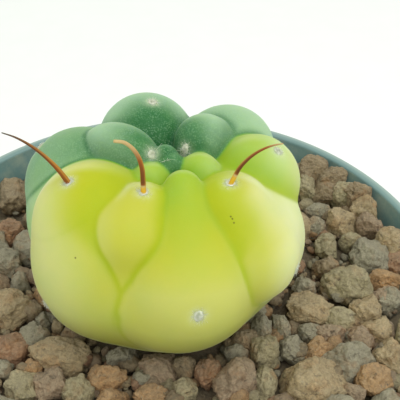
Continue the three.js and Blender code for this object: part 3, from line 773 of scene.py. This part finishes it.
def makeWool():
    w = wool
    material = areoleWool()
    draws = np.random.default_rng(w["seed"])
    dome = bmesh.new()
    bmesh.ops.create_icosphere(dome, subdivisions=3, radius=1)
    domePoints = np.array([v.co[:] for v in dome.verts])
    domeFaces = [[v.index for v in face.verts] for face in dome.faces]
    dome.free()
    for name, (heading, elevation) in areoles.items():
        point, out = skinPoint(heading, elevation)
        point = point - out * (plant["dimple"] - w["padLift"])
        side = unit(np.cross(out, (0.2, 0.1, 1)))
        over = np.cross(out, side)
        lumps = np.array([noise.fractal(Vector(p * 2.5 + point), 1, 2, 4) for p in domePoints])
        across = w["longPads"].get(name, w["padRadius"])
        pad = domePoints * (1 + w["padLumps"] * lumps)[:, None] * (*across, w["padHeight"])
        parts = [(point + pad @ np.stack([side, over, out]), domeFaces)]
        for k in range(w["hairs"]):
            reach = abs(draws.normal(0, w["hairSpread"]))
            a = draws.random() * 2 * math.pi
            spot = side * math.cos(a) * across[0] + over * math.sin(a) * across[1]
            start = point + spot * reach + out * w["padHeight"] * max(0, 1 - reach ** 2)
            way = math.cos(a) * side + math.sin(a) * over + out * w["lie"] + draws.normal(0, w["hairMess"], 3)
            length = between(w["hairLength"], draws.random())
            curl = draws.normal(0, w["hairCurl"], 3) - out * w["hairDroop"]
            parts.append(hair(start, unit(way), curl, length, w["hairThickness"], 0.5, 3))
        for k in range(w["bristles"].get(name, 0)):
            a = draws.random() * 2 * math.pi
            way = math.cos(a) * side + math.sin(a) * over + out * between(w["bristleRise"], draws.random())
            length = between(w["bristleLength"], draws.random())
            curl = draws.normal(0, w["bristleCurl"], 3)
            parts.append(hair(point + way * 0.4, unit(way), curl, length, w["bristleThickness"], 0.4, 4))
        points, faces = joined(parts)
        makePiece("wool_" + name, points + plant["centre"], faces, material, "areole_wool", ["wool_pad_" + name])

    # the growing point's own few strands
    way = unit(np.array(w["crownAt"]))
    start = way * skinRadius(way[None])[0] - (0, 0, 0.1)
    strands = []
    for k in range(w["crownBristles"]):
        a = draws.random() * 2 * math.pi
        lean = unit(np.array([math.cos(a), math.sin(a), between(w["crownRise"], draws.random())]))
        curl = draws.normal(0, w["crownCurl"], 3)
        length = between(w["bristleLength"], draws.random()) * w["crownLength"]
        strands.append(hair(start, lean, curl, length, w["bristleThickness"], 0.4, 4))
    points, faces = joined(strands)
    makePiece("wool_crown", points + plant["centre"], faces, material, "areole_wool")


# spines: points from the body's centre, the first on the skin, and the tone at shares of the length
spines = {
    "left": {
        "radii": (0.4, 0.07), "taper": 1.1, "root": 1.5,
        "tone": ((0, 0.36), (0.12, 0.45), (0.25, 0.4), (0.45, 0.28), (0.65, 0.22), (0.85, 0.08), (1, 0)),
        "points": ((-12, -6.4, 13.1), (-12.87, -6.36, 14.86), (-13.94, -6.13, 16.25), (-15.16, -5.77, 17.37),
                   (-16.53, -5.36, 18.26), (-18.03, -4.94, 18.92), (-19.65, -4.6, 19.35)),
    },
    "middle": {
        "radii": (0.36, 0.2), "taper": 1.6, "root": 1.5,
        "tone": ((0, 1), (0.07, 0.95), (0.14, 0.25), (0.32, 0.3), (0.5, 0.46), (0.7, 0.62), (1, 0.72)),
        "points": ((-2.15, -8.4, 13.1), (-2.15, -8.08, 14.67), (-2.21, -7.7, 16.07), (-2.55, -7.22, 17.33),
                   (-3.26, -6.71, 18.36), (-4.33, -6.29, 19.05), (-5.63, -6.2, 19.21)),
    },
    "right": {
        "radii": (0.34, 0.08), "taper": 1.2, "root": 1.5,
        "tone": ((0, 1), (0.08, 0.95), (0.16, 0.2), (0.5, 0.26), (0.8, 0.5), (1, 0.66)),
        "points": ((9.1, -6.45, 13.3), (9.87, -6.19, 14.95), (10.71, -5.89, 15.96), (11.7, -5.58, 16.75),
                   (12.82, -5.28, 17.33), (14.04, -5.01, 17.69), (15.35, -4.8, 17.85)),
    },
}


def spineHorn():
    # dry woody horn: red-brown, amber at a young foot, tan or grey towards the point, with fine
    # lengthwise grain, a dull polish and a painted highlight along both flanks
    look = {
        "tones": ((0.0, "#4A443C"), (0.2, "#5E3204"), (0.45, "#8A4A0C"), (0.7, "#C8B078"), (1.0, "#DEAE16")),
        "flankHighlight": "#D8A040",
        "streak": "#AC6418",
    }
    material, tree, shader = newMaterial("spineHorn", {"Roughness": 0.45, "IOR": 1.5, "Specular IOR Level": 0.3})
    along, flank, tone = [addNode(tree, "Attribute", attribute_name=name, out="Fac")
                          for name in ("along", "flank", "tone")]
    grainPlace = addNode(tree, "CombineXYZ", (flank, along))
    grain = addNode(tree, "TexNoise", {"Vector": grainPlace, "Scale": 9, "Detail": 4})
    streak = addNode(tree, "MapRange", (grain, 0.45, 0.7, 0, 0.2))
    # painted highlight along both flanks, fading towards the point
    flankHighlight = addNode(tree, "MapRange", (flank, 0.55, 0.95, 0, 0.45))
    flankHighlightEnd = addNode(tree, "MapRange", (along, 0.4, 0.85, 1, 0.1))
    flankHighlight = addNode(tree, "Math", (flankHighlight, flankHighlightEnd), operation="MULTIPLY")
    colour = addNode(tree, "ValToRGB", [tone], look["tones"])
    for share, name in ((streak, "streak"), (flankHighlight, "flankHighlight")):
        colour = addNode(tree, "Mix", {0: share, 6: colour, 7: toLinear(look[name])}, out=2, data_type="RGBA")
    connect(tree, shader, {
        "Base Color": colour,
        "Normal": addNode(tree, "Bump", {"Height": grain, "Strength": 0.35, "Distance": 0.05 * mm}),
    })
    return material


def makeSpines():
    material = spineHorn()
    sides = 16
    for name, spine in spines.items():
        shown = np.array(spine["points"])
        below = shown[0] - shown[1]
        root = shown[0] + unit(below) * spine["root"]
        path = smoothPath([root, *shown], 6)
        walked = np.append(0, np.cumsum(np.linalg.norm(np.diff(path, axis=0), axis=1)))
        share = walked / walked[-1]
        points, faces = tube(path, between(spine["radii"], share ** spine["taper"]), sides)
        along = np.repeat(np.clip((walked - spine["root"]) / (walked[-1] - spine["root"]), 0, 1), sides)
        flank = np.tile(np.abs(np.sin(np.arange(sides) * 2 * math.pi / sides)), len(path))
        makePiece("spine_horn_" + name, points + plant["centre"], faces, material, "spine",
                  ["spine_" + name], {"along": along, "flank": flank, "tone": np.interp(along, *zip(*spine["tone"]))})


# grit dressing
grit = {
    "bedDrop": 7.3,
    "centreDrop": 5.4,
    "slope": 0.029,
    "thickness": 11,
    "clearance": 0.3,
    "overlap": 1.12,
    "spiralStones": 105,
    "spiralReach": 41,
    "sizes": (5.2, 7.4),
    "shift": 0.55,
    "depths": (0.75, 1.15),
    "lifts": (-0.54, 0.36),
    "crowding": 0.3,
    "hiddenRadius": 10,
    "seed": 20261,
    "swells": (0.86, 1.16),
    "halfHeights": (0.34, 0.44),
    "leastHalfHeight": 0.6,
    "foot": 1.2,
    "reach": 0.45,
    "turn": 0.5,
    "roundness": 0.62,
    "packing": 1.14,  # how far the fine stones fill the corners between them
    "chips": 12,  # flats knocked off each stone
    "chipDepths": (0.62, 0.92),
    "chipped": 0.95,  # of what lies past such a flat
    "lumps": 0.14,
    "lumpScale": 1.7,  # to a stone's half width
    "pits": 0.19,
    "pitScale": 3.1,
    "fineFrom": 3.6,  # stones in sight at least this wide get the finer surface
    "leftUpTo": 18,
    "gapShade": 0.8,  # painted shade in the gaps: how much darker a stone is just above the bed, fading out higher up
    "gapShadeUpTo": -0.2,
    "gapShadeReach": 1.6,
    # painted gap shade on the chips and crumbs, and all over the bed
    "fineGapShade": 0.2,
    "bedGapShade": 0.55,
    "bedRough": 0.35,
    "bedRings": 45,
    "bedSides": 160,
    "finesRing": (13, 41.5),  # from the axis, round a point between it and the plant
    "finesInward": 1.3,  # above 1 they crowd inwards
    "finesSmall": 1.6,  # above 1 more of them are small
    "finesWidths": (0.6, 0.95),
    "finesHeights": (0.5, 0.8),
}
fines = {
    "lava_chips": {"count": 380, "sizes": (2.5, 4.4), "lifts": (0.9, 2.6), "rounds": 2},
    "grit_crumbs": {"count": 1300, "sizes": (0.9, 2.4), "lifts": (0.1, 1.5), "rounds": 1},
}
tones = {"tan": 0, "pink": 1, "olive": 2, "grey": 3, "red": 4, "orange": 5, "brown": 6}
spiralTones = ("tan", "pink", "olive", "grey", "grey", "tan", "brown", "orange", "olive", "red")

# Stones in sight round the plant: x, y, across, deep, how far each stands above its neighbours, and its tone.
shownStones = [
    (-14.9, -11.3, 8.4, 5.7, 0, "tan"), (-15.3, -16.4, 4.6, 4.2, 0, "pink"), (-11.4, -17.5, 4, 4, 0, "olive"),
    (-19.6, -16.7, 5, 4, 0, "olive"), (-23, -13.6, 3, 3, 0, "grey"), (-22.4, -10, 5.1, 4.8, 0, "red"),
    (-18.7, -13.7, 3, 2.6, 0, "orange"), (-19.2, -7.8, 4, 4.3, 0, "grey"), (-24.4, -2, 5.8, 5.8, 0.4, "tan"),
    (-20.9, -2.5, 3, 3, 0, "brown"), (-13.4, -7.2, 3.7, 3.1, 0.2, "brown"), (-7.3, -15.5, 5.2, 3.9, 0, "orange"),
    (-6.4, -18.6, 3.4, 2.6, 0, "orange"), (-0.8, -18.6, 4.5, 3, 0, "orange"), (-2.3, -15.8, 2.8, 3, 0, "grey"),
    (0, -13.7, 5.3, 4.7, 0.2, "pink"), (-5.3, -12, 4.2, 3.2, 0, "grey"), (3.8, -13.8, 3, 3.2, 0.2, "brown"),
    (3.5, -17.5, 3.3, 3.4, 0, "olive"), (7.2, -14.5, 3.2, 4.4, 0, "red"), (11.2, -16.3, 5.7, 6, 0.2, "pink"),
    (11.4, -11.7, 2.9, 2.6, 0.2, "grey"), (15.7, -11.2, 4.2, 5.1, 0, "olive"), (12.7, -9.3, 3.6, 3, 0.4, "brown"),
    (15.6, -6.7, 3.1, 4.9, 0, "grey"), (15.5, -16.7, 3.1, 4.9, 0, "olive"), (18.5, -6.9, 2.9, 4.6, 0, "grey"),
    (22.9, -3.2, 6.6, 4.7, 0.4, "tan"), (22.9, -7.6, 3.7, 2.8, -0.2, "grey"), (19.9, -10.8, 3.6, 3.6, 0, "grey"),
    (21.9, -16.8, 8.6, 6.9, 0.3, "tan"), (27.5, -5.4, 4.7, 4, 0, "olive"), (23.6, -11.4, 4.5, 3, 0, "orange"),
    (26, -8.1, 3.7, 2.8, 0, "pink"), (27.3, -13.3, 6.4, 5, 0, "grey"), (30.2, -9.1, 3.9, 3.6, 0, "pink"),
    (31.9, -3.9, 4.4, 4.7, 0, "tan"), (33.2, -7.7, 4.3, 4, 0, "tan"), (30.6, -16.5, 4.9, 5.1, 0.2, "orange"),
    (33.7, -12.4, 4.1, 4.4, 0, "tan"), (36.2, -1.7, 4.1, 3.4, -0.3, "grey"), (27.5, -18.6, 2.8, 2.8, 0, "pink"),
    (28, 30.3, 5.1, 4.9, 3, "brown"), (31.8, 27.6, 5.4, 3.6, 2.6, "brown"), (29.2, 24.6, 4.5, 4.9, 1, "brown"),
    (26.3, 25.5, 3, 4.9, 1, "olive"), (33.2, 23.7, 4.5, 4.5, 1.6, "olive"), (35.6, 22.4, 4.2, 3.8, 3, "brown"),
    (36.4, 19.2, 4.3, 5, 1.6, "tan"), (36, 14.8, 3.9, 3.9, 1, "pink"), (27.6, 20.1, 4.4, 2.8, 0, "grey"),
    (31.1, 16.7, 5.7, 5, 0, "tan"), (26.6, 16.1, 3.6, 3.2, 0, "grey"), (28, 11.1, 3.6, 4.3, 0, "olive"),
    (32.5, 12.2, 3.5, 2.8, 0, "olive"), (38.4, 10.6, 4.5, 4.5, 1.4, "tan"), (34.9, 8, 6.4, 6.4, 0, "grey"),
    (38.6, 6.6, 3.4, 3.7, 0.4, "red"), (29.9, 1.3, 6.8, 6.5, 0.3, "olive"), (27.1, 5.9, 4, 4, 0, "brown"),
    (36, 2.6, 4.9, 3, 0, "orange"), (36.1, -0.9, 4.2, 2.6, 0, "pink"), (23, 1.4, 3.6, 3.6, 0, "grey"),
    (-29.8, 26, 5.3, 6.4, 1.2, "brown"), (-28, 15.4, 5.7, 3.8, 0.4, "red"), (-27, 7.9, 5.5, 4.8, 0, "grey"),
    (-23.8, 3.8, 2.9, 2.8, 0, "grey"), (-18.7, -4.4, 2.2, 3.2, 0, "grey"),
]


def lavaGrit():
    # crushed lava and pumice: dull brown, tan, olive grey and rust, rough and pitted, dusty on top, with painted
    # shade darkening the gaps
    palette = ("#AA9672", "#9C866C", "#A19674", "#948E78", "#9C785A", "#AA875E", "#8F7D60")
    look = {"dust": "#B3A78C", "gapShade": "#332D22", "pit": "#4A4034", "rust": "#A0703F", "pale": "#B8AE92"}
    material, tree, shader = newMaterial("crushedLava", {"Roughness": 0.95, "IOR": 1.5})
    place = addNode(tree, "NewGeometry")
    tone, low = [addNode(tree, "Attribute", attribute_name=name, out="Fac") for name in ("tone", "low")]
    colour = addNode(tree, "ValToRGB", [tone], [(k / len(palette), tint) for k, tint in enumerate(palette)])
    colour.node.color_ramp.interpolation = "CONSTANT"

    # low carries the painted shade of the gaps
    noises, shares = {}, {"gapShade": low}
    for name, size, detail, *limits in (
            ("cloud", 2.6, 5, 0.3, 0.7, 0.84, 1.34), ("grain", 0.45, 4, 0.3, 0.7, 0.76, 1.4),
            ("rust", 3.5, 3, 0.52, 0.72, 0, 0.45), ("pale", 0.8, 2, 0.62, 0.74, 0, 0.5),
            ("pit", 1.1, 3, 0.28, 0.42, 0.75, 0)):
        noises[name] = addNode(tree, "TexNoise", {"Vector": place, "Scale": cellScale(size), "Detail": detail,
                                                  "Roughness": 0.7})
        shares[name] = addNode(tree, "MapRange", (noises[name], *limits))
    # dust lies where a stone faces up
    faceUp = addNode(tree, "SeparateXYZ", [addNode(tree, "NewGeometry", out="Normal")], out="Z")
    shares["dust"] = addNode(tree, "MapRange", (faceUp, 0.4, 1, 0, 0.25))
    shade = addNode(tree, "Math", (shares["cloud"], shares["grain"]), operation="MULTIPLY")
    for name in ("rust", "pale", "pit", "dust", "gapShade"):
        colour = addNode(tree, "Mix", {0: shares[name], 6: colour, 7: toLinear(look[name])}, out=2, data_type="RGBA")
        if name == "rust":
            colour = addNode(tree, "VectorMath", {0: colour, "Scale": shade}, operation="SCALE")
    relief = addNode(tree, "Math", (noises["pit"], noises["grain"]), operation="ADD")
    connect(tree, shader, {
        "Base Color": colour,
        "Normal": addNode(tree, "Bump", {"Height": relief, "Strength": 1, "Distance": 0.6 * mm}),
    })
    return material


def stonePlan():
    # every stone of the dressing, with the same draws in the same order as in its solid
    draw = seededDraws(grit["seed"])
    plan = [(x, y, across * grit["overlap"], deep * grit["overlap"], lift, grit["turn"] * (draw() - 0.5), k + 1, tone)
            for k, (x, y, across, deep, lift, tone) in enumerate(shownStones)]
    shown = list(plan)
    goldenAngle = math.pi * (3 - math.sqrt(5))
    for k in range(grit["spiralStones"]):
        reach = grit["spiralReach"] * math.sqrt((k + 0.5) / grit["spiralStones"])
        size = between(grit["sizes"], draw() ** 1.5)
        x = reach * math.cos(k * goldenAngle) + grit["shift"] * 2 * (draw() - 0.5)
        y = reach * math.sin(k * goldenAngle) + grit["shift"] * 2 * (draw() - 0.5)
        deep = size * between(grit["depths"], draw())
        lift = between(grit["lifts"], draw())
        turn = math.pi * draw()
        crowded = any(math.hypot(nearX - x, nearY - y) < grit["crowding"] * (size + (nearAcross + nearDeep) / 2)
                      for nearX, nearY, nearAcross, nearDeep, *rest in shown)
        hidden = math.hypot(x - plant["centre"][0], y - plant["centre"][1]) < grit["hiddenRadius"]
        if not crowded and not hidden:
            plan.append((x, y, size, deep, lift, turn, 1000 + k, spiralTones[k % len(spiralTones)]))
    return plan


def icosahedronCorners():
    # in the order in which the solids' stones draw their swells
    b = 1 / math.sqrt(1 + ((1 + math.sqrt(5)) / 2) ** 2)
    a = b * (1 + math.sqrt(5)) / 2
    return np.array([
        (-a, 0, b), (0, b, a), (-b, a, 0), (b, a, 0), (0, b, -a), (-a, 0, -b),
        (a, 0, b), (0, -b, a), (-b, -a, 0), (0, -b, -a), (a, 0, -b), (b, -a, 0),
    ])


def dividedIcosahedron(rounds):
    # each point as shares of the twelve corners, and the faces
    corners = icosahedronCorners()
    edge = min(np.linalg.norm(corners[0] - corner) for corner in corners[1:]) * 1.01
    near = np.linalg.norm(corners[:, None] - corners[None], axis=-1) < edge
    faces = []
    for i in range(12):
        for j in range(i + 1, 12):
            for k in range(j + 1, 12):
                if near[i, j] and near[j, k] and near[i, k]:
                    outward = np.linalg.det(corners[[i, j, k]]) > 0
                    faces.append((i, j, k) if outward else (i, k, j))
    shares = list(np.eye(12))
    for step in range(rounds):
        middles = {}

        def middle(i, j):
            key = (min(i, j), max(i, j))
            if key not in middles:
                middles[key] = len(shares)
                shares.append((shares[i] + shares[j]) / 2)
            return middles[key]

        finer = []
        for i, j, k in faces:
            ij, jk, ki = middle(i, j), middle(j, k), middle(k, i)
            finer += [(i, ij, ki), (ij, j, jk), (ki, jk, k), (ij, jk, ki)]
        faces = finer
    return np.array(shares), faces


def bedAt(x):
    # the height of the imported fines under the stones
    return rimHeight - grit["bedDrop"] + grit["slope"] * x


def roomAt(height):
    # how far from the axis the dressing reaches
    return innerRadiusAt(height) - grit["clearance"]


def crushed(points, seed):
    # a lump with flats knocked off it, and a rough pitted skin
    draws = np.random.default_rng(seed)
    for k in range(grit["chips"]):
        way = unit(draws.normal(0, 1, 3))
        past = points @ way - between(grit["chipDepths"], draws.random())
        points = points - np.maximum(past, 0)[:, None] * way * grit["chipped"]
    offset = Vector(draws.random(3) * 50)
    lumps = np.array([noise.fractal(Vector(p * grit["lumpScale"]) + offset, 1, 2.1, 3) for p in points])
    pits = np.array([noise.turbulence(Vector(p * grit["pitScale"]) + offset, 3, True) for p in points])
    return points * (1 + grit["lumps"] * lumps - grit["pits"] * (pits - 0.4))[:, None]


def fineStone(x, y, across, deep, lift, turn, seed, shares):
    draw = seededDraws(grit["seed"] + seed)
    height = between(grit["halfHeights"], draw()) * (across + deep) / 2 + grit["leastHalfHeight"]
    swells = np.array([between(grit["swells"], draw()) for k in range(12)])
    middle = rimHeight - grit["centreDrop"] + grit["slope"] * x + lift
    reach = roomAt(middle) - grit["reach"] * min(across, deep)
    inward = min(1, reach / math.hypot(x, y))

    flat = shares @ (icosahedronCorners() * swells[:, None])
    ball = unit(flat) * (shares @ swells)[:, None]
    points = crushed(flat * (1 - grit["roundness"]) + ball * grit["roundness"], seed) * grit["packing"]
    drop = np.where(points[:, 2] < 0, max(height, middle - bedAt(x) + grit["foot"]), height)
    points *= (across / 2, deep / 2, 1)
    points[:, 2] *= drop
    return spun(points, turn) + (x * inward, y * inward, middle)


def keptInPot(points):
    # nothing passes the pot's wall
    across = np.hypot(points[:, 0], points[:, 1])
    share = np.minimum(1, roomAt(points[:, 2]) / np.maximum(across, 1e-6))
    return points * np.stack([share, share, np.ones(len(points))], 1)


def makeGrit():
    material = lavaGrit()
    piled = {"lava_stones": [], "lava_stones_left": [], "lava_stones_right": []}
    coarseForm, fineForm = dividedIcosahedron(3), dividedIcosahedron(4)
    for x, y, across, deep, lift, turn, seed, tone in stonePlan():
        isFine = seed < 1000 and across + deep > 2 * grit["fineFrom"]
        shares, faces = fineForm if isFine else coarseForm
        points = keptInPot(fineStone(x, y, across, deep, lift, turn, seed, shares))
        # painted shade: each stone darker towards the bed
        above = points[:, 2] - bedAt(points[:, 0]) - grit["gapShadeUpTo"]
        low = np.clip(1 - above / grit["gapShadeReach"], 0, 1) * grit["gapShade"]
        name = "lava_stones"
        if isFine:
            name += "_left" if x < grit["leftUpTo"] else "_right"
        piled[name].append((points, faces, tones[tone], low))

    # chips and crumbs between the stones
    draws = np.random.default_rng(grit["seed"])
    for name, heap in fines.items():
        shares, faces = dividedIcosahedron(heap["rounds"])
        piled[name] = []
        for k in range(heap["count"]):
            reach = math.sqrt(between(np.square(grit["finesRing"]), draws.random() ** grit["finesInward"]))
            a = draws.random() * 2 * math.pi
            size = between(heap["sizes"], draws.random() ** grit["finesSmall"])
            x, y = reach * math.cos(a) + plant["centre"][0] * 0.5, reach * math.sin(a)
            points = shares @ icosahedronCorners()
            points /= np.linalg.norm(points, axis=1, keepdims=True) ** grit["roundness"]
            spin = np.linalg.qr(draws.normal(0, 1, (3, 3)))[0]
            spin *= np.linalg.det(spin)
            points = crushed(points, draws.integers(100000)) @ spin
            points = points * (1, between(grit["finesWidths"], draws.random()),
                               between(grit["finesHeights"], draws.random()))
            height = bedAt(x) + between(heap["lifts"], draws.random())
            points = keptInPot(spun(points, a * 5) * size / 2 + (x, y, height))
            piled[name].append((points, faces, draws.integers(len(tones)), np.full(len(points), grit["fineGapShade"])))

    for name, heap in piled.items():
        points, faces = joined([stone[:2] for stone in heap])
        makePiece(name, points, faces, material, "lava_grit", ["grit_dressing"] if name == "lava_stones" else (), {
            "tone": np.concatenate([np.full(len(stone[0]), (stone[2] + 0.5) / len(tones)) for stone in heap]),
            "low": np.concatenate([stone[3] for stone in heap]),
        })
        print(name, len(heap), "stones,", len(faces), "triangles")

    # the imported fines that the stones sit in
    high = bedAt(0)
    low = high - grit["thickness"]
    rings = [(roomAt(high) * share, high) for share in np.linspace(1, 0, grit["bedRings"], endpoint=False)]
    profile = [(0, low), (roomAt(low), low), *rings, (0, high)]
    points, faces = turned(profile, grit["bedSides"])
    top = points[:, 2] > (low + high) / 2
    rough = np.array([noise.fractal(Vector(p * 0.9), 0.8, 2, 5) for p in points])
    points[:, 2] += np.where(top, grit["slope"] * points[:, 0] + grit["bedRough"] * rough, 0)
    makePiece("grit_bed", points, faces, material, "lava_grit", (), {
        "tone": np.full(len(points), (tones["brown"] + 0.5) / len(tones)),
        "low": np.full(len(points), grit["bedGapShade"]),
    })


# potting mix, seen through the drain holes
def pottingMix():
    # peat and fine pumice, damp: nearly black crumbs with pale grains 1 to 2 mm wide
    material, tree, shader = newMaterial("peatAndPumice", {"Roughness": 0.95, "IOR": 1.4})
    place = addNode(tree, "NewGeometry")
    crumb = addNode(tree, "TexNoise", {"Vector": place, "Scale": cellScale(1.2), "Detail": 8, "Roughness": 0.7})
    peat = addNode(tree, "ValToRGB", [crumb], ((0.35, "#1E1812"), (0.65, "#4A3A2B")))
    grain = addNode(tree, "TexVoronoi", {"Vector": place, "Scale": cellScale(1.8)}, out="Color")
    pumice = addNode(tree, "Math", (grain, 0.78), operation="GREATER_THAN")
    connect(tree, shader, {
        "Base Color": addNode(tree, "Mix", {0: pumice, 6: peat, 7: toLinear("#9A9078")}, out=2, data_type="RGBA"),
        "Normal": addNode(tree, "Bump", {"Height": crumb, "Strength": 0.8, "Distance": 0.5 * mm}),
    })
    return material


def dressPottingMix():
    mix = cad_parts["potting_mix"]
    for entry in mix.material_slots:
        entry.material = pottingMix()


setUpStudio()
print("studio ready")
makePot()
print("pot ready")
makeBody()
print("skin ready")
makeWool()
makeSpines()
print("wool and spines ready")
makeGrit()
dressPottingMix()
print("grit and mix ready")
